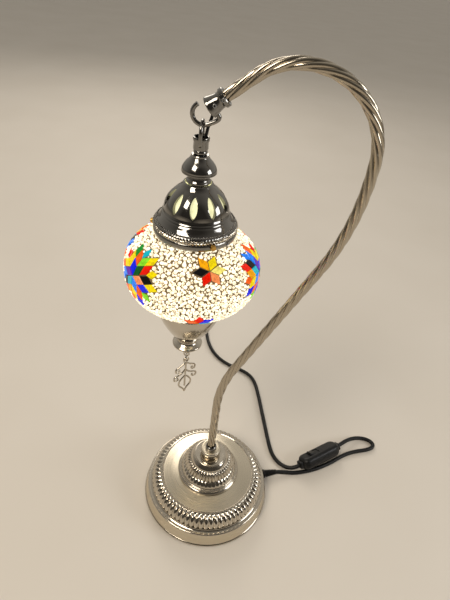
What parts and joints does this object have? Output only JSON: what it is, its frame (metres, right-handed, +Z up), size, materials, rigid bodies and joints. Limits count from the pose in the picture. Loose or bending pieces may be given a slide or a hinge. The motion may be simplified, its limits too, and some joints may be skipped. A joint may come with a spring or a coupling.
{
  "type": "mosaic glass table lamp",
  "caption": "Swan-neck table lamp: a hooked metal arm on a round stepped base carries a hanging mosaic glass globe with a pierced cap, a bottom bowl and a filigree charm.",
  "frame": {"origin": "centre of the base's underside, on the felt", "axes": "+Z up; the arm bends in the XZ plane with its bow towards +X and the shade on the -X side"},
  "size_m": [0.3389, 0.5213, 0.4952],
  "materials": {
    "felt": "dark green felt",
    "cast_iron": "bare casting",
    "satin_nickel": "satin champagne nickel, turned",
    "nickel": "bright warm nickel plate",
    "dark_nickel": "polished nickel plate on pressed sheet",
    "brass": "plain brass",
    "zinc_steel": "bright zinc plate",
    "black_pvc": "soft black sheath",
    "black_resin": "moulded, slightly glossy",
    "white_plastic": "heat-proof moulding",
    "bulb_glass": "frosted, lit warm",
    "mosaic_glass": "blown glass under a mosaic of beads and tiles in pale grout"
  },
  "bodies": {
    "stand": {"felt_pad": "felt", "base_weight": "cast_iron", "base_shell": "satin_nickel", "base_washer": "zinc_steel", "base_locknut": "zinc_steel", "centre_dome": "nickel", "dome_collar": "satin_nickel", "base_rod": "zinc_steel", "arm_foot_nut": "dark_nickel", "arm_tube": "nickel", "arm_ferrule": "dark_nickel", "ferrule_screw": "zinc_steel", "hook": "nickel", "cable_splice": "white_plastic", "arm_cable": "black_pvc", "strain_relief": "black_pvc", "inner_lead": "black_pvc", "switch_upper": "black_resin", "switch_lower": "black_resin", "switch_block": "white_plastic", "cord_grip_1": "zinc_steel", "cord_grip_2": "zinc_steel", "cord_lead": "black_pvc", "cord_tail": "black_pvc", "cord_coil": "black_pvc", "cord_tie": "black_resin", "plug_body": "black_resin", "plug_pin_1": "nickel", "plug_pin_2": "nickel", "cord_end": "black_pvc"},
    "link": {"link_ring": "nickel", "swing_cable": "black_pvc"},
    "pendant": {"hanger_cup": "dark_nickel", "stem_ring": "dark_nickel", "upper_bell": "dark_nickel", "neck_ring": "dark_nickel", "pierced_dome": "dark_nickel", "globe_screw_1": "brass", "globe_screw_2": "brass", "globe_screw_3": "brass", "globe_glass": "mosaic_glass", "pendant_rod": "zinc_steel", "dome_nut": "zinc_steel", "holder_body": "white_plastic", "holder_ring": "white_plastic", "holder_contacts": "brass", "bulb_cap": "zinc_steel", "bulb_glass": "bulb_glass", "bottom_bowl": "nickel", "bottom_ring": "nickel", "bottom_boss": "nickel", "clamp_bar": "zinc_steel", "eye_bolt": "nickel", "pendant_cable": "black_pvc"},
    "charm": {"charm_ring": "nickel", "charm": "nickel"},
    "rocker": {"switch_rocker": "black_resin"}
  },
  "joints": [
    {"name": "link_swing", "type": "hinge", "parent": "stand", "child": "link", "pos_m": [-0.0357, 0, 0.44555], "axis": [1, 0, 0], "range_deg": [-15, 15], "deforming": ["swing_cable"]},
    {"name": "pendant_swing", "type": "hinge", "parent": "link", "child": "pendant", "pos_m": [-0.0357, 0, 0.43255], "axis": [0, 1, 0], "range_deg": [-4, 15], "deforming": ["swing_cable"]},
    {"name": "charm_swing", "type": "hinge", "parent": "pendant", "child": "charm", "pos_m": [-0.0357, 0, 0.22504], "axis": [1, 0, 0], "range_deg": [-25, 25]},
    {"name": "rocker_tilt", "type": "hinge", "parent": "stand", "child": "rocker", "pos_m": [0.13765, 0.05548, 0.01527], "axis": [-0.4816, 0.6981, -0.5299], "range_deg": [-8, 0]}
  ]
}
